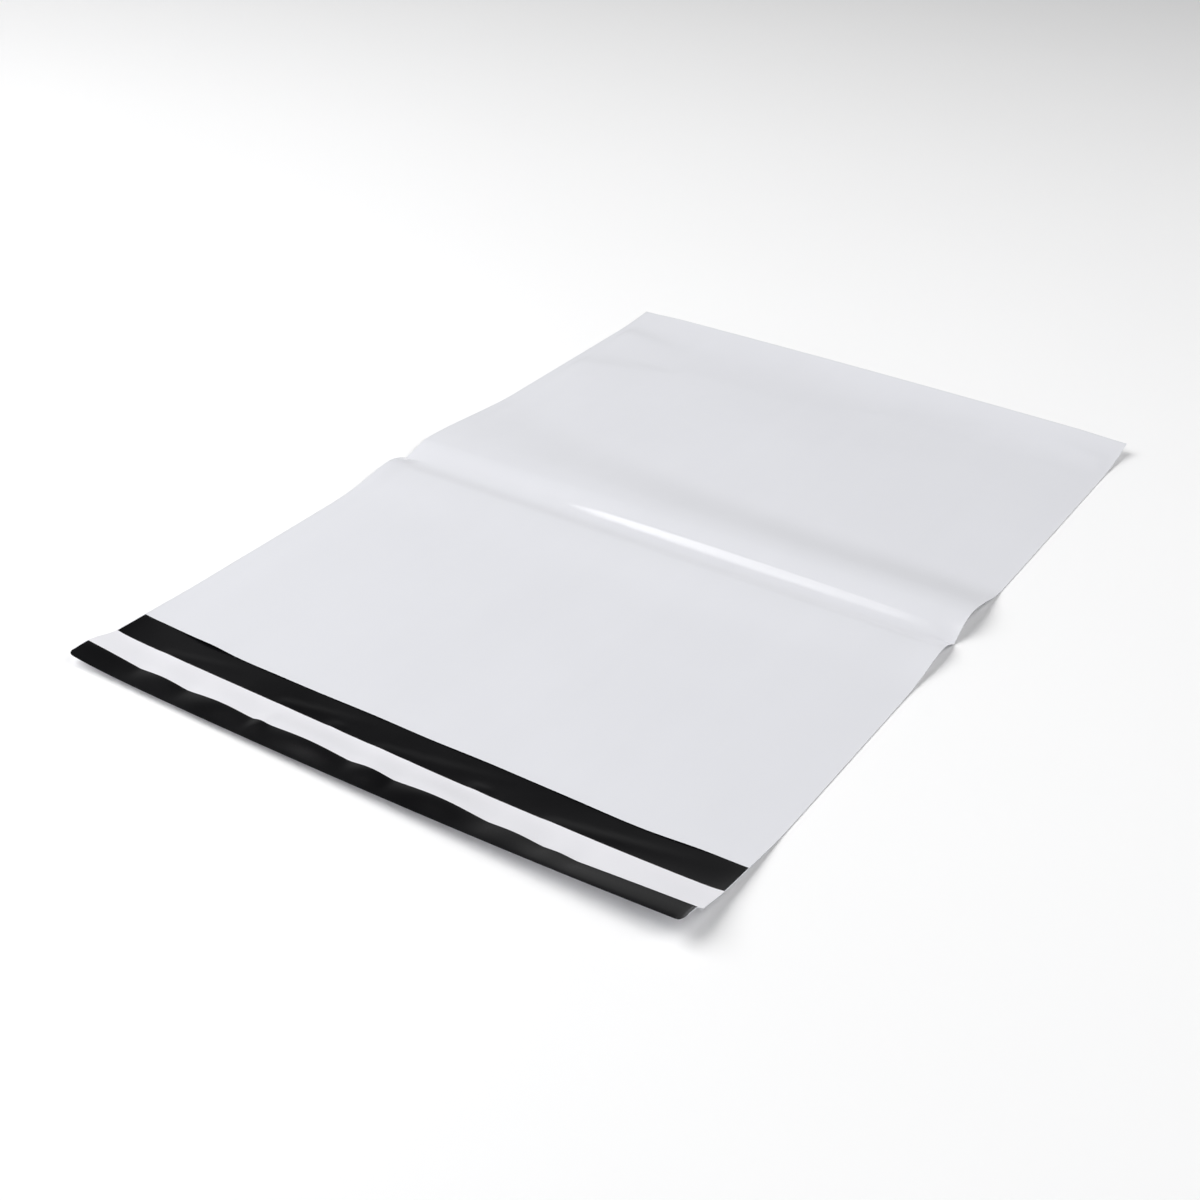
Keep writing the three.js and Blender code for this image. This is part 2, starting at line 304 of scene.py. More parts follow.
def crease_height(x, along, bag):
    """Two humps either side of the crease, deep at the bag's sides and shallow between them.
    With r the share of the reach: at the sides the near hump rises as the sine of a quarter
    turn times r. The far one is a mix of (7 r - r to the 7th) / 6, most of it at the left, and
    of a smooth step of r to the power 0.7, all of it at the right. In the middle they rise as
    smooth steps, and a flat facet stands steeper in the far one. Its width and its slope
    shrink towards its ends as the fourth root of 1 - c squared, c being the share of its half
    length. Near humps fall away as a bell, and far ones as a smooth step to their foot."""
    crease = bag.crease
    half = bag.sizes.width / 2.0
    from_left = x + half
    near_run = across(crease.near_run, x, bag)
    foot = crease.far_foot + crease.left_foot * np.exp(-from_left / crease.left_foot_run)
    far_top = across(crease.far_height, x, bag)
    far_reach = across(crease.far_reach, x, bag)

    def near_fall(distance):
        return bell(np.maximum(distance, 0.0), near_run)

    def far_fall(distance):
        return 1.0 - smoothstep(0.0, foot, distance)

    def far_rise(part):
        straight = (STRAIGHT_POWER * part - part**STRAIGHT_POWER) / (STRAIGHT_POWER - 1)
        early = smoothstep(0.0, 1.0, part**EARLY_POWER)
        return straight + (early - straight) * across(EARLY_SHARE, x, bag)

    valley_line = crease_line(x, bag)
    sides = two_humps(
        along - valley_line,
        across(crease.valley, x, bag),
        (across(crease.near_height, x, bag), crease.near_reach,
         lambda part: np.sin(part * math.pi / 2.0), near_fall),
        (far_top, far_reach, far_rise, far_fall),
    )

    middle_line = valley_line - crease.middle_shift
    middle_reach = far_reach + crease.middle_shift
    across_facet = np.clip((x - crease.facet_place) / crease.facet_half, -1.0, 1.0)
    fade = (1.0 - across_facet**2) ** FACET_FADE_POWER
    facet_width = crease.facet_width * fade
    facet_slope = crease.facet_slope * fade
    facet_rise = facet_slope * facet_width
    centre = crease.facet_start + crease.facet_width / 2.0

    def faceted_rise(part):
        beyond = part * middle_reach - centre + facet_width / 2.0
        facet = facet_slope * np.clip(beyond, 0.0, facet_width)
        total = far_top - crease.middle_valley
        return ((total - facet_rise) * smoothstep(0.0, 1.0, part) + facet) / total

    middle = two_humps(
        along - middle_line,
        crease.middle_valley,
        (across(crease.middle_near, x, bag), across(crease.middle_near_reach, x, bag),
         lambda part: smoothstep(0.0, 1.0, part), near_fall),
        (far_top, middle_reach, faceted_rise, far_fall),
    )
    return middle + (sides - middle) * bell(half - np.abs(x), crease.side_run)


# The film along the liner's front edge puckers into arches, in millimetres: where an arch
# starts, how high the film lies there, and how much higher the arch's middle is.
ARCHES = np.array([
    (-160, 4.9, 0.15), (-128, 2.15, 1.05), (-99.5, 1.9, 1.25), (-62, 2.75, 0.7),
    (-53, 3.35, 1.2), (-9, 3.4, 1.15), (14, 3.7, 1.6), (61.5, 4.1, 0.8), (88, 4.2, 0.5),
    (104, 4.55, 0.1), (160, 8.9, 0.0),
])
ARCH_POWER = 1.3


def edge_lift(x, bag):
    """Height of the flap's edge: even, with a quick rise at the left corner, falling off as an
    exponential, and a long one to the right corner, a power of the way across."""
    curl = bag.curl
    from_left = x + bag.sizes.width / 2.0
    left = curl.left_lift * np.exp(-from_left / curl.left_run)
    return curl.lift + left + curl.right_lift * (from_left / bag.sizes.width) ** curl.right_power


def front_lift(x):
    """Height of the film at the liner's front edge: a straight line from one arch's foot to the
    next, plus each arch's height times the sine of half a turn to the power 1.3."""
    number, part = listed_place(ARCHES, x)
    feet = np.interp(x / MM, ARCHES[:, 0], ARCHES[:, 1])
    return MM * (feet + ARCHES[number, 2] * np.sin(math.pi * part) ** ARCH_POWER)


# Lifts at the sides of the liner's rear edge and of the mouth: the run in which the left one
# falls to a third, and the power of the right one's rise. The rear edge's right corner has a
# lift and a run of its own.
REAR_SIDES = (7 * MM, 2.0)
MOUTH_SIDES = (10 * MM, 3.0)
REAR_CORNER_RUN = 4 * MM

# Slope of the film at the flap's edge, as a share of the straight slope to the liner.
EDGE_SLOPE_SHARE = 0.5


def side_lift(pair, x, bag, run, power):
    """Rise at both sides only: the left one falls off as an exponential with this run, the
    right one is a power of the way from the middle."""
    half = bag.sizes.width / 2.0
    return pair[0] * np.exp(-(x + half) / run) + pair[1] * np.clip(x / half, 0.0, 1.0) ** power


def flap_height(x, along, bag):
    """Lift of the flap: its heights at its edge, at the liner's two edges, at the mouth and
    where its curl starts, joined by cubic curves. The slope at the edge is half the first
    straight slope where that rises, and none where it falls. At the liner's front edge it is
    the mean of the two straight slopes beside it, each with the other's run for its weight. At
    the stations behind that it is their harmonic mean, and none where they differ in sign."""
    sizes, curl = bag.sizes, bag.curl
    from_right = sizes.width / 2.0 - x
    rear = side_lift(curl.rear_lift, x, bag, *REAR_SIDES)
    stations = (
        (0.0, edge_lift(x, bag)),
        (sizes.liner_setback, front_lift(x)),
        (sizes.liner_setback + sizes.liner_width,
         rear + curl.rear_corner * np.exp(-from_right / REAR_CORNER_RUN)),
        (sizes.flap, side_lift(curl.mouth_lift, x, bag, *MOUTH_SIDES)),
        (sizes.flap + curl.behind_mouth, np.zeros_like(x)),
    )
    steps = [
        (high - low) / (end - start)
        for (start, low), (end, high) in zip(stations, stations[1:])
    ]
    rear_share = sizes.liner_setback / (sizes.liner_setback + sizes.liner_width)
    slopes = [
        EDGE_SLOPE_SHARE * np.maximum(steps[0], 0.0),
        steps[0] + (steps[1] - steps[0]) * rear_share,
    ]
    for before, after in zip(steps[1:], steps[2:]):
        even = np.where(before * after > 0.0, before + after, 1.0)
        slopes.append(np.where(before * after > 0.0, 2.0 * before * after / even, 0.0))
    slopes.append(np.zeros_like(x))
    height = np.zeros_like(x)
    for i, step in enumerate(steps):
        start, low = stations[i]
        run = stations[i + 1][0] - start
        part = np.clip((along - start) / run, 0.0, 1.0)
        curve = low + run * (
            step * smoothstep(0.0, 1.0, part)
            + slopes[i] * part * (1.0 - part) ** 2
            - slopes[i + 1] * part**2 * (1.0 - part)
        )
        height = np.where((along >= start) & (along < start + run), curve, height)
    return height


def roll_share(along, bag):
    """Share of the right corner's roll: all of it at the flap's edge, none at the liner."""
    setback = bag.sizes.liner_setback
    return 1.0 - smoothstep(setback - bag.curl.roll_end, setback, along)


def roll_inset(x, along, bag):
    """How far the roll draws a point in, towards the left: a smooth step over its width."""
    curl, half = bag.curl, bag.sizes.width / 2.0
    step = smoothstep(half - curl.roll_width, half, x)
    return curl.roll_pull * roll_share(along, bag) * step


def roll_height(x, along, bag):
    """Height of the roll over x already drawn in: a parabola that starts level."""
    curl, half = bag.curl, bag.sizes.width / 2.0
    part = np.clip((x - half + curl.roll_width) / (curl.roll_width - curl.roll_pull), 0, 1)
    return curl.roll_lift * roll_share(along, bag) * part**2


def end_height(x, along, bag):
    """Lift of the closed end: a parabola along the bag, bowed up in its middle."""
    curl = bag.curl
    rise = np.clip(1.0 - (bag.sizes.overall - along) / curl.end_run, 0, 1)
    bow = curl.end_bow * (1.0 - (2.0 * x / bag.sizes.width) ** 2)
    return (across(curl.end_lift, x, bag) + bow) * rise**2


def base_height(x, along, bag):
    """Underside of the back panel above the floor: crease, flap, its soft folds and the
    closed end."""
    return (
        crease_height(x, along, bag)
        + flap_height(x, along, bag)
        + flap_relief(x, along)
        + roll_height(x, along, bag)
        + end_height(x, along, bag)
    )


# Soft folds: both ends as (x, along), the height, and the half widths of the side towards
# the flap and of the side towards the closed end, in millimetres.
FRONT_FOLDS = (
    ((-175, 468), (-98, 456), 1.3, 18, 9),
    ((-175, 402), (-78, 429), 0.9, 26, 11),
    ((-90, 432), (70, 436), 0.5, 34, 16),
    ((35, 461), (140, 486), 0.6, 20, 11),
    ((175, 476), (100, 489), 0.6, 9, 5.0),
    ((-175, 352), (-120, 300), 0.4, 16, 8.0),
)
FLAP_FOLDS = (
    ((-130, 31), (-84, 43), 0.2, 3.0, 1.4),
    ((-62, 33), (-12, 44), 0.26, 3.0, 1.2),
    ((-8, 31), (62, 46), 0.28, 3.5, 1.3),
    ((8, 31), (42, 39), 0.16, 2.5, 1.2),
    ((80, 31), (152, 45), 0.26, 4.0, 1.6),
    ((-34, 31.5), (-26, 32.5), 0.4, 2.0, 2.5),
    ((41, 31.5), (51, 32.5), 0.45, 2.0, 2.5),
)

# Share of a fold's length after which it tapers.
TAPER_START = 0.3

# The air left in the pocket, in millimetres: its middle as (x, along), its height, and its
# half widths across and along the bag.
PUFF = ((-5.0, 402.0), 1.2, (95.0, 42.0))


def fold_ridge(x, along, fold):
    """A rounded ridge over the line between two points: a bell of the distance to the line,
    with a run of its own on each side. It tapers to nothing at its second end, as a smooth
    step that begins at TAPER_START of the way."""
    (x0, a0), (x1, a1), height, near_width, far_width = fold
    run = math.hypot(x1 - x0, a1 - a0)
    ux, ua = (x1 - x0) / run, (a1 - a0) / run
    # The closed end is on the line's left only where the line runs to the right.
    if ux < 0:
        near_width, far_width = far_width, near_width
    dx, da = x / MM - x0, along / MM - a0
    part = (dx * ux + da * ua) / run
    beside = da * ux - dx * ua
    width = np.where(beside > 0, far_width, near_width)
    beyond = run * (part - np.clip(part, 0.0, 1.0))
    taper = 1.0 - smoothstep(TAPER_START, 1.0, part)
    return height * MM * bell(beside, width) * bell(beyond, width) * taper


def front_relief(x, along, bag):
    """Extra height of the front panel: its soft folds, and the air left in the pocket, a
    bell across the bag times a bell along it, between the crease and the closed end."""
    (x0, a0), height, (wide, deep) = PUFF
    air = bell(x / MM - x0, wide) * bell(along / MM - a0, deep)
    return height * MM * air + sum(fold_ridge(x, along, fold) for fold in FRONT_FOLDS)


def flap_relief(x, along):
    """Extra height of the film between the liner and the mouth: slanting soft folds."""
    return sum(fold_ridge(x, along, fold) for fold in FLAP_FOLDS)


# How far the front panel's lip lies past the mouth line, in millimetres: x, overhang.
LIP = np.array([
    (-175, 1.8), (-150, 2.1), (-118, 3.6), (-94, 3.9), (0, 2.5), (50, 1.4), (110, 2.0),
    (150, 0.1), (175, 0.0),
])
LIP_WAVES = 6

# Widths of the weld over which the front panel's relief comes in beside it.
RELIEF_RUN_WELDS = 3.0


def lip_overhang(x):
    """Overhang of the lip: a smooth step from each listed place to the next."""
    number, part = listed_place(LIP, x)
    rise = LIP[number + 1, 1] - LIP[number, 1]
    return MM * (LIP[number, 1] + rise * smoothstep(0.0, 1.0, part))


def panel_gap(x, along, bag):
    """Air between the panels: none in the welds, a little all over, more at the closed end,
    and less at the mouth, apart from the lip's small waves, squared sines, and the place
    where it gapes, a bell. The front panel's relief is added, and fades out at the welds."""
    pocket, sizes = bag.pocket, bag.sizes
    from_weld = sizes.width / 2.0 - sizes.weld - np.abs(x)
    shoulder = smoothstep(0.0, pocket.shoulder, from_weld)
    ending = smoothstep(sizes.overall - pocket.end_gap_run, sizes.overall, along)
    lip = np.clip(1.0 - (along - sizes.flap) / pocket.mouth_run, 0, 1) ** 2
    waves = np.sin(LIP_WAVES * math.pi * (x / sizes.width + 0.5)) ** 2
    bulge = pocket.bulge * bell(x - pocket.bulge_place, pocket.bulge_run)
    opening = pocket.mouth_gap - pocket.gap + pocket.lip_ripple * waves + bulge
    even = pocket.gap + (pocket.end_gap - pocket.gap) * ending + opening * lip
    edge = smoothstep(0.0, RELIEF_RUN_WELDS * sizes.weld, from_weld)
    return shoulder * even + edge * front_relief(x, along, bag)


# Grids. A row is a place along the film, and its points run from the left side to the right,
# at these shares of the half width.

COLUMN_COUNT = 161
COLUMNS = np.linspace(-1.0, 1.0, COLUMN_COUNT)

# Rows round the flap's corners.
CORNER_ROWS = 6

# Rows of a panel, as (place in millimetres, count of rows up to the next place): measured
# from the crease's middle valley, and short of the closed end.
CREASE_ROWS = ((-75, 9), (-16, 16), (2, 23), (20, 10), (36, 14), (115, 0))
END_ROWS = ((95, 26), (8, 6), (1.5, 0))


def spaced(places):
    """Places of rows from (start, count) pairs: each run is divided evenly into its count, and
    the last pair gives the end."""
    runs = [
        np.linspace(start, places[i + 1][0], count, endpoint=False)
        for i, (start, count) in enumerate(places[:-1])
    ]
    return np.concatenate(runs + [[places[-1][0]]])


def flap_places(bag):
    """Rows of the flap behind its rounded corners, with a row at each edge of the liner and of
    the adhesive."""
    sizes = bag.sizes
    middle = sizes.liner_setback + sizes.liner_width / 2.0
    adhesive = sizes.adhesive_width / 2.0
    return spaced([
        (sizes.corner_radius, 6),
        (sizes.liner_setback, 2),
        (middle - adhesive, 4),
        (middle + adhesive, 2),
        (sizes.liner_setback + sizes.liner_width, 9),
        (sizes.flap, 0),
    ])


def flap_grid(bag):
    """x and along of the flap's points, rows by columns. In the rows of the rounded corners
    the half width is less by the radius times 1 - sine of the turn."""
    sizes = bag.sizes
    radius = sizes.corner_radius
    turn = np.linspace(0.0, math.pi / 2.0, CORNER_ROWS, endpoint=False)
    places = np.concatenate([radius * (1.0 - np.cos(turn)), flap_places(bag)[:-1]])
    half = np.full(len(places), sizes.width / 2.0)
    half[: len(turn)] -= radius * (1.0 - np.sin(turn))
    x = half[:, None] * COLUMNS
    along = np.broadcast_to(places[:, None], x.shape)
    return x - roll_inset(x, along, bag), along


def pocket_grid(bag):
    """x and along of one panel's points, from the mouth to the closed end. Rows near the
    crease keep their distance from its slanting valley, and rows near the end stand closer."""
    sizes, crease = bag.sizes, bag.crease
    x = sizes.width / 2.0 * COLUMNS
    valley = crease_line(x, bag) - crease.middle_shift
    middle = sizes.overall - crease.from_end - crease.middle_shift
    first, last = CREASE_ROWS[0][0] * MM, CREASE_ROWS[-1][0] * MM
    behind = spaced([
        (sizes.flap, 13),
        (sizes.flap + bag.curl.behind_mouth, 8),
        (middle + first - crease.skew, 0),
    ])
    offsets = spaced([(place * MM, count) for place, count in CREASE_ROWS])
    ahead = spaced([
        (middle + last + crease.skew, 7),
        *((sizes.overall - place * MM, count) for place, count in END_ROWS),
    ])

    def straight(places):
        return np.broadcast_to(places[:, None], (len(places), len(x)))

    along = np.concatenate([
        straight(behind),
        valley + offsets[:, None],
        straight(ahead),
        fold_centre(x, bag)[None, :],
    ])
    return np.broadcast_to(x, along.shape), along


def film_thickness(bag):
    """Thickness of both layers together."""
    return bag.sizes.white_layer + bag.sizes.black_layer


def fold_centre(x, bag):
    """Where the film starts to turn round the closed end: half the gap and the film's
    thickness short of the bag's full length."""
    overall = bag.sizes.overall
    return overall - film_thickness(bag) - panel_gap(x, np.full_like(x, overall), bag) / 2.0


def points(x, along, height, bag):
    """Puts x, along and height together as points of the bag's own frame."""
    place = along - bag.sizes.overall / 2.0
    return np.stack(np.broadcast_arrays(x, place, height), axis=-1)


def back_surface(x, along, depth, bag):
    """A layer of the back panel: its underside's height plus the depth into the film."""
    return points(x, along, base_height(x, along, bag) + depth, bag)


def front_surface(x, along, depth, bag):
    """The same layer of the front panel, above the gap, with the layers in reverse order.
    Its rows near the mouth are shifted over the flap by the lip's overhang."""
    film = film_thickness(bag)
    gap = panel_gap(x, along, bag)
    run = bag.pocket.mouth_run
    shift = lip_overhang(x) * np.clip(1.0 - (along - bag.sizes.flap) / run, 0, 1)
    along = along - shift
    return points(x, along, base_height(x, along, bag) + film + gap + (film - depth), bag)


def fold_surface(depth, bag, steps=10):
    """The same layer round the closed end: half a circle whose radius is half the gap plus
    what lies between the layer and the film's inside."""
    x = bag.sizes.width / 2.0 * COLUMNS
    along = fold_centre(x, bag)
    film = film_thickness(bag)
    half_gap = panel_gap(x, along, bag) / 2.0
    radius = half_gap + film - depth
    turn = np.linspace(-math.pi / 2.0, math.pi / 2.0, steps + 1)[1:-1, None]
    centre = base_height(x, along, bag) + film + half_gap
    return points(x, along + radius * np.cos(turn), centre + radius * np.sin(turn), bag)


def film_surface(depth, bag):
    """One layer of the whole film, rows by columns by 3: the flap, the back panel, the turn
    round the closed end and the front panel back to the mouth."""
    flap = back_surface(*flap_grid(bag), depth, bag)
    pocket = pocket_grid(bag)
    back = back_surface(*pocket, depth, bag)
    front = front_surface(*pocket, depth, bag)[::-1]
    return np.concatenate([flap, back, fold_surface(depth, bag), front])


# Meshes. Edges that turn by more than the sharp angle aren't shaded smooth, and tubes end at
# the pinched share of their radius.

SHARP_ANGLE = math.radians(50)
PINCHED_SHARE = 0.05


def grid_faces(rows, columns, start=0, flip=False):
    """Quads of a grid of points numbered row by row from start."""
    corner = start + np.arange(rows - 1)[:, None] * columns + np.arange(columns - 1)
    faces = np.stack([corner, corner + 1, corner + columns + 1, corner + columns], axis=-1)
    faces = faces.reshape(-1, 4)
    return faces[:, ::-1] if flip else faces


def make_object(name, vertices, faces, material):
    """Links a smooth-shaded mesh of quads made from whole arrays."""
    mesh = bpy.data.meshes.new(name)
    mesh.vertices.add(len(vertices))
    mesh.vertices.foreach_set("co", np.ascontiguousarray(vertices, np.float32).ravel())
    mesh.loops.add(faces.size)
    mesh.loops.foreach_set("vertex_index", np.ascontiguousarray(faces, np.int32).ravel())
    mesh.polygons.add(len(faces))
    mesh.polygons.foreach_set("loop_start", np.arange(0, faces.size, 4, dtype=np.int32))
    mesh.polygons.foreach_set("use_smooth", np.ones(len(faces), bool))
    mesh.update(calc_edges=True)
    mesh.validate()
    mesh.materials.append(material)
    piece = bpy.data.objects.new(name, mesh)
    bpy.context.scene.collection.objects.link(piece)
    return piece


def sheet_object(name, lower, upper, material):
    """A closed sheet between two grids of the same rows and columns: the two surfaces, and a
    wall of quads round their shared border. Edges of the walls are sharp."""
    rows, columns = lower.shape[:2]
    count = rows * columns
    number = np.arange(count).reshape(rows, columns)
    border = np.concatenate([
        number[0, :-1], number[:-1, -1], number[-1, :0:-1], number[:0:-1, 0],
    ])
    after = np.roll(border, -1)
    wall = np.stack([border, after, after + count, border + count], axis=-1)
    faces = np.concatenate([
        grid_faces(rows, columns, 0, flip=True),
        grid_faces(rows, columns, count),
        wall,
    ])
    vertices = np.concatenate([lower.reshape(-1, 3), upper.reshape(-1, 3)])
    piece = make_object(name, vertices, faces, material)
    piece.data.set_sharp_from_angle(angle=SHARP_ANGLE)
    return piece


def tube_object(name, paths, radius, material, sides=6):
    """Round tubes, each carried along a path of points whose tangent lies near the Y axis: the
    section is a circle square to the tangent. The ends are closed by pinching them shut."""
    vertices, faces, start = [], [], 0
    for path in paths:
        tangent = np.gradient(path, axis=0)
        tangent /= np.linalg.norm(tangent, axis=1)[:, None]
        right = np.cross(tangent, (0.0, 0.0, 1.0))
        right /= np.linalg.norm(right, axis=1)[:, None]
        up = np.cross(right, tangent)
        turn = np.linspace(0.0, 2.0 * math.pi, sides + 1)
        radii = np.full(len(path), radius)
        radii[[0, -1]] = radius * PINCHED_SHARE
        ring = np.cos(turn)[:, None] * right[:, None] + np.sin(turn)[:, None] * up[:, None]
        tube = path[:, None] + radii[:, None, None] * ring
        vertices.append(tube.reshape(-1, 3))
        faces.append(grid_faces(len(path), sides + 1, start, flip=True))
        start += tube.shape[0] * tube.shape[1]
    return make_object(name, np.concatenate(vertices), np.concatenate(faces), material)


# Materials. Patterns are read from Object coordinates, in metres. Noise mostly lies between
# the two values here.

NOISE_LOW, NOISE_HIGH = 0.3, 0.7


class MaterialMaker:
    """Adds nodes to one material and links them."""

    def __init__(self, name):
        self.material = bpy.data.materials.new(name)
        self.material.use_nodes = True
        self.tree = self.material.node_tree
        self.shader = self.tree.nodes["Principled BSDF"]
        self.place = self.add("ShaderNodeTexCoord").outputs["Object"]

    def fill(self, node, inputs):
        """Sets a node's inputs by name, each to a value or to another node's output."""
        for name, value in inputs.items():
            if isinstance(value, bpy.types.NodeSocket):
                self.tree.links.new(value, node.inputs[name])
            else:
                node.inputs[name].default_value = value

    def add(self, kind, inputs=None, **settings):
        """A new node of this kind with these inputs and settings."""
        node = self.tree.nodes.new(kind)
        for name, value in settings.items():
            setattr(node, name, value)
        self.fill(node, inputs or {})
        return node

    def noise(self, waves, detail=2.0, stretch=(1.0, 1.0, 1.0)):
        """Noise with this many waves a metre, stretched along the axes."""
        mapped = self.add("ShaderNodeMapping", {"Vector": self.place, "Scale": stretch})
        node = self.add("ShaderNodeTexNoise", {
            "Vector": mapped.outputs["Vector"], "Scale": waves, "Detail": detail,
        })
        return node.outputs["Fac"]

    def ranged(self, value, low, high):
        """Maps the range where noise mostly lies to low and high."""
        node = self.add("ShaderNodeMapRange", {
            "Value": value, "From Min": NOISE_LOW, "From Max": NOISE_HIGH,
            "To Min": low, "To Max": high,
        })
        return node.outputs["Result"]

    def shaded(self, colour, value, low, high):
        """The colour times a number that follows value from low to high."""
        number = self.ranged(value, low, high)
        node = self.add(
            "ShaderNodeMix", {"Factor": 1.0, "A": (*colour, 1.0), "B": number},
            data_type="RGBA", blend_type="MULTIPLY",
        )
        self.fill(self.shader, {"Base Color": node.outputs["Result"]})

    def bump(self, value, height, below=None):
        """A bump of this height in metres, on top of the bump below it."""
        node = self.add("ShaderNodeBump", {"Strength": 1.0, "Distance": height, "Height": value})
        if below is not None:
            self.fill(node, {"Normal": below})
        return node.outputs["Normal"]

    def film_skin(self, mottle, dull, waves, height):
        """Roughness that follows the mottle between two values, and grain over low waves."""
        wavy = self.bump(self.noise(waves), height)
        grain = self.bump(self.noise(waves=900.0), height=0.000004, below=wavy)
        self.fill(self.shader, {"Roughness": self.ranged(mottle, *dull), "Normal": grain})


def white_film(bag):
    """Satin white film: faint machine-direction streaks, a soft mottle, and fine waviness."""
    maker = MaterialMaker("white_film")
    mottle = maker.noise(waves=14.0, detail=3.0)
    streaks = maker.noise(waves=60.0, stretch=(1.0, 0.04, 1.0))
    streak_share = 0.35
    mixed = maker.add(
        "ShaderNodeMix", {"Factor": streak_share, "A": mottle, "B": streaks}, data_type="FLOAT"
    )
    maker.shaded(bag.looks.white, mixed.outputs["Result"], low=0.985, high=1.01)
    even = bag.looks.white_roughness
    maker.film_skin(mottle, dull=(even - 0.03, even + 0.04), waves=55.0, height=0.00006)
    return maker.material


def black_film(bag):
    """Glossy black film: nearly even colour, uneven gloss and small ripples."""
    maker = MaterialMaker("black_film")
    mottle = maker.noise(waves=20.0, detail=3.0)
    maker.shaded(bag.looks.black, mottle, low=0.9, high=1.1)
    even = bag.looks.black_roughness
    maker.film_skin(mottle, dull=(even - 0.05, even + 0.06), waves=90.0, height=0.00003)
    return maker.material


def release_film(bag):
    """Smooth white release film with a very slight waviness across it."""
    maker = MaterialMaker("release_film")
    mottle = maker.noise(waves=30.0)
    maker.shaded(bag.looks.liner, mottle, low=0.99, high=1.01)
    dull = maker.ranged(mottle, low=0.4, high=0.5)
    wavy = maker.bump(maker.noise(waves=70.0, stretch=(1.0, 0.4, 1.0)), height=0.00006)
    maker.fill(maker.shader, {"Roughness": dull, "Normal": wavy})
    return maker.material


def patterned(name, even_colour, pattern, low, high, roughness, height=0.0):
    """A material whose colour follows one noise from low to high, and whose surface rises
    with it by this height. The pattern is the noise's waves a metre and its stretch."""
    maker = MaterialMaker(name)
    waves, stretch = pattern
    noise = maker.noise(waves, stretch=stretch)
    maker.shaded(even_colour, noise, low, high)
    maker.fill(maker.shader, {"Roughness": roughness})
    if height:
        maker.fill(maker.shader, {"Normal": maker.bump(noise, height)})
    return maker.material


def hot_melt(bag):
    """Clear pale adhesive with fine coating lines along the strip."""
    lines = (400.0, (0.05, 1.0, 1.0))
    return patterned(
        "hot_melt", bag.looks.adhesive, lines, low=0.94, high=1.04, roughness=0.22,
        height=0.00002,
    )


def melted_edge(bag):
    """The white film where the hot knife melted it: duller, with beads along the edge."""
    beads = (350.0, (1.0, 1.0, 1.0))
    return patterned(
        "melted_edge", bag.looks.white, beads, low=0.97, high=1.08, roughness=0.3,
        height=0.00008,
    )


def studio_floor(bag):
    """Pale even floor with a faint mottle."""
    mottle = (4.0, (1.0, 1.0, 1.0))
    return patterned(
        "studio_floor", bag.looks.floor, mottle, low=0.995, high=1.005, roughness=0.7
    )


# Operators. The sensor's width is in millimetres. The studio fades between the two angles
# above the floor.

SENSOR_WIDTH = 36.0
NEAR_CLIP = 0.01
FLOOR_HALF = 4.0
FLOOR_POINTS = 9
FLOOR_HEIGHT = -0.0003
FADE_START = math.radians(20)
FADE_END = math.radians(40)

# Each light's name, place and size in metres, and the property that holds its power.
LIGHTS = (
    ("left", (-1.2, -0.7, 1.6), (1.9, 1.7), "left_power"),
    ("right", (1.5, 0.6, 1.8), (1.9, 1.7), "right_power"),
    ("strip", (-0.555, 0.18, 1.5), (0.2, 0.62), "strip_power"),
)


def settle(piece, replaced):
    """The piece rides on the only body, and stands for a solid if one is named: that solid is
    hidden."""
    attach(piece, "root")
    if replaced:
        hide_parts(replaced)


def facing(place, back, roll=0.0):
    """Matrix of what stands at a place and looks away from the back direction, level, and
    then turned about its line of sight by the roll."""
    level = np.cross((0.0, 0.0, 1.0), back)
    level /= np.linalg.norm(level)
    upright = np.cross(back, level)
    right = math.cos(roll) * level + math.sin(roll) * upright
    up = math.cos(roll) * upright - math.sin(roll) * level
    return Matrix.Translation(place) @ Matrix((right, up, back)).transposed().to_4x4()


class MAILER_OT_camera(Operator):
    """Places the camera at the bag's viewing angle"""

    bl_idname = "mailer.camera"
    bl_label = "Camera"

    def execute(self, context):
        stage = context.scene.mailer_bag.stage
        az, el = stage.azimuth, stage.elevation
        back = np.array([
            math.sin(az) * math.cos(el), -math.cos(az) * math.cos(el), math.sin(el),
        ])
        data = bpy.data.cameras.new("camera")
        data.lens = stage.lens
        data.sensor_width = SENSOR_WIDTH
        data.clip_start = NEAR_CLIP
        camera = bpy.data.objects.new("camera", data)
        camera.matrix_world = facing(stage.place, back, stage.roll)
        context.scene.collection.objects.link(camera)
        context.scene.camera = camera
        return {"FINISHED"}


class MAILER_OT_film(Operator):
    """Makes the white outer layer and the black inner layer of the film"""

    bl_idname = "mailer.film"
    bl_label = "Film"

    def execute(self, context):
        bag = context.scene.mailer_bag
        sizes = bag.sizes
        outside = film_surface(0.0, bag)
        bonded = film_surface(sizes.white_layer, bag)
        inside = film_surface(film_thickness(bag), bag)
        white = sheet_object("mailer_white_film", outside, bonded, white_film(bag))
        settle(white, "outer_film")
        black = sheet_object("mailer_black_film", bonded, inside, black_film(bag))
        settle(black, "inner_film")
        return {"FINISHED"}


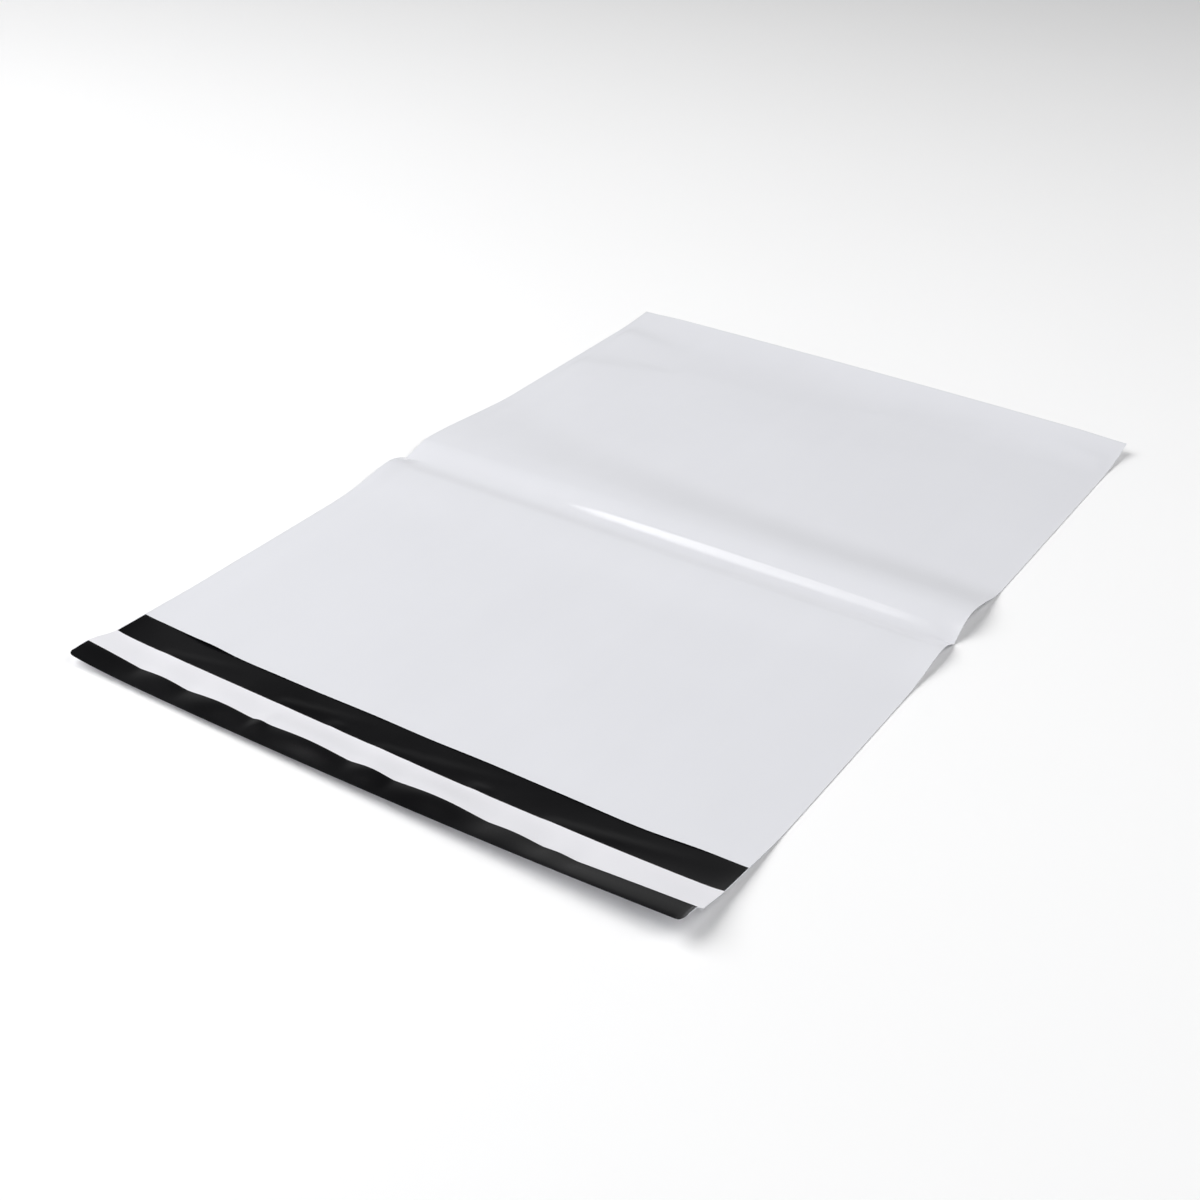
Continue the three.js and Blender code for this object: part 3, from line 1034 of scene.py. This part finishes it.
class MAILER_OT_flap_strip(Operator):
    """Makes the adhesive strip on the flap and the release liner over it"""

    bl_idname = "mailer.flap_strip"
    bl_label = "Adhesive and liner"

    def execute(self, context):
        bag = context.scene.mailer_bag
        sizes = bag.sizes
        places = flap_places(bag)
        tiny = 1e-7
        end = sizes.liner_setback + sizes.liner_width
        middle = (sizes.liner_setback + end) / 2.0
        wide = places[(places > sizes.liner_setback - tiny) & (places < end + tiny)]
        narrow = wide[np.abs(wide - middle) < sizes.adhesive_width / 2.0 + tiny]
        film = film_thickness(bag)
        top = film + sizes.adhesive_thickness

        def layer(rows, depth):
            x = np.broadcast_to(sizes.width / 2.0 * COLUMNS, (len(rows), len(COLUMNS)))
            along = np.broadcast_to(rows[:, None], x.shape)
            return back_surface(x, along, depth, bag)

        adhesive = sheet_object(
            "flap_adhesive", layer(narrow, film), layer(narrow, top), hot_melt(bag)
        )
        settle(adhesive, "adhesive_strip")
        liner = sheet_object(
            "flap_release_liner",
            layer(wide, top),
            layer(wide, top + sizes.liner_thickness),
            release_film(bag),
        )
        settle(liner, "release_liner")
        return {"FINISHED"}


class MAILER_OT_edges(Operator):
    """Makes the melted edges down both sides, where a hot knife welded and cut the film"""

    bl_idname = "mailer.edges"
    bl_label = "Melted edges"

    def execute(self, context):
        bag = context.scene.mailer_bag
        sizes = bag.sizes
        flap = flap_places(bag)[:-1]
        pocket = pocket_grid(bag)[1][:, [0, -1]]
        paths = []
        for side, column in ((-1.0, 0), (1.0, 1)):
            along = np.concatenate([flap, pocket[:, column]])
            x = np.full_like(along, side * sizes.width / 2.0)
            x -= roll_inset(x, along, bag)
            sheets = np.where(along < sizes.flap, 1.0, 2.0)
            middle = sheets * film_thickness(bag) / 2.0
            paths.append(points(x, along, base_height(x, along, bag) + middle, bag))
        edges = tube_object("side_weld_edges", paths, sizes.bead_radius, melted_edge(bag))
        settle(edges, None)
        return {"FINISHED"}


class MAILER_OT_stage(Operator):
    """Makes the pale floor, the soft lights and the studio around them"""

    bl_idname = "mailer.stage"
    bl_label = "Stage"

    def execute(self, context):
        bag = context.scene.mailer_bag
        stage = bag.stage
        steps = np.linspace(-FLOOR_HALF, FLOOR_HALF, FLOOR_POINTS)
        x, y = np.meshgrid(steps, steps)
        vertices = np.stack([x, y, np.full_like(x, FLOOR_HEIGHT)], axis=-1).reshape(-1, 3)
        faces = grid_faces(FLOOR_POINTS, FLOOR_POINTS)
        floor = make_object("floor", vertices, faces, studio_floor(bag))
        for name, place, size, power in LIGHTS:
            self.soft_light(context, name, place, size, getattr(stage, power))
        world = bpy.data.worlds.new("studio")
        world.use_nodes = True
        background = world.node_tree.nodes["Background"]
        background.inputs["Color"].default_value = (1.0, 1.0, 1.0, 1.0)
        self.bright_horizon(world.node_tree, background, stage)
        context.scene.world = world
        context.scene.view_settings.view_transform = "Standard"
        return {"FINISHED"}

    @staticmethod
    def bright_horizon(tree, background, stage):
        """The studio is pale near the floor and dark above: its brightness is a smooth step
        of the sine of the angle above the floor."""
        direction = tree.nodes.new("ShaderNodeTexCoord").outputs["Generated"]
        split = tree.nodes.new("ShaderNodeSeparateXYZ")
        tree.links.new(direction, split.inputs["Vector"])
        fade = tree.nodes.new("ShaderNodeMapRange")
        fade.interpolation_type = "SMOOTHSTEP"
        fade.inputs["From Min"].default_value = math.sin(FADE_START)
        fade.inputs["From Max"].default_value = math.sin(FADE_END)
        fade.inputs["To Min"].default_value = stage.horizon
        fade.inputs["To Max"].default_value = stage.surround
        tree.links.new(split.outputs["Z"], fade.inputs["Value"])
        tree.links.new(fade.outputs["Result"], background.inputs["Strength"])

    @staticmethod
    def soft_light(context, name, place, size, power):
        """A rectangular light that faces the middle of the bag."""
        data = bpy.data.lights.new(name, "AREA")
        data.shape = "RECTANGLE"
        data.size, data.size_y = size
        data.energy = power
        light = bpy.data.objects.new(name, data)
        light.matrix_world = facing(place, np.array(place) / np.linalg.norm(place))
        context.scene.collection.objects.link(light)


class MAILER_PT_sidebar(Panel):
    """Sizes, colours and the steps that build the bag"""

    bl_idname = "MAILER_PT_sidebar"
    bl_label = "Poly mailer bag"
    bl_space_type = "VIEW_3D"
    bl_region_type = "UI"
    bl_category = "Mailer"

    def draw(self, context):
        bag = context.scene.mailer_bag
        for operator in OPERATORS:
            self.layout.operator(operator.bl_idname)
        for group in (bag.sizes, bag.pocket, bag.crease, bag.curl, bag.looks, bag.stage):
            box = self.layout.box()
            for name in type(group).__annotations__:
                box.prop(group, name)


GROUPS = (
    MAILER_PG_sizes,
    MAILER_PG_pocket,
    MAILER_PG_crease,
    MAILER_PG_curl,
    MAILER_PG_looks,
    MAILER_PG_stage,
    MAILER_PG_bag,
)
OPERATORS = (
    MAILER_OT_camera,
    MAILER_OT_film,
    MAILER_OT_flap_strip,
    MAILER_OT_edges,
    MAILER_OT_stage,
)


def register():
    """Registers the classes and gives each scene its settings of the bag."""
    for item in (*GROUPS, *OPERATORS, MAILER_PT_sidebar):
        bpy.utils.register_class(item)
    bpy.types.Scene.mailer_bag = PointerProperty(
        type=MAILER_PG_bag, name="Mailer bag", description="Sizes and colours of the bag"
    )


def unregister():
    """Takes the settings and the classes away again."""
    del bpy.types.Scene.mailer_bag
    for item in reversed((*GROUPS, *OPERATORS, MAILER_PT_sidebar)):
        bpy.utils.unregister_class(item)


def main():
    """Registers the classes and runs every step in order."""
    register()
    bpy.ops.mailer.camera()
    bpy.ops.mailer.film()
    bpy.ops.mailer.flap_strip()
    bpy.ops.mailer.edges()
    bpy.ops.mailer.stage()


if __name__ == "__main__":
    main()
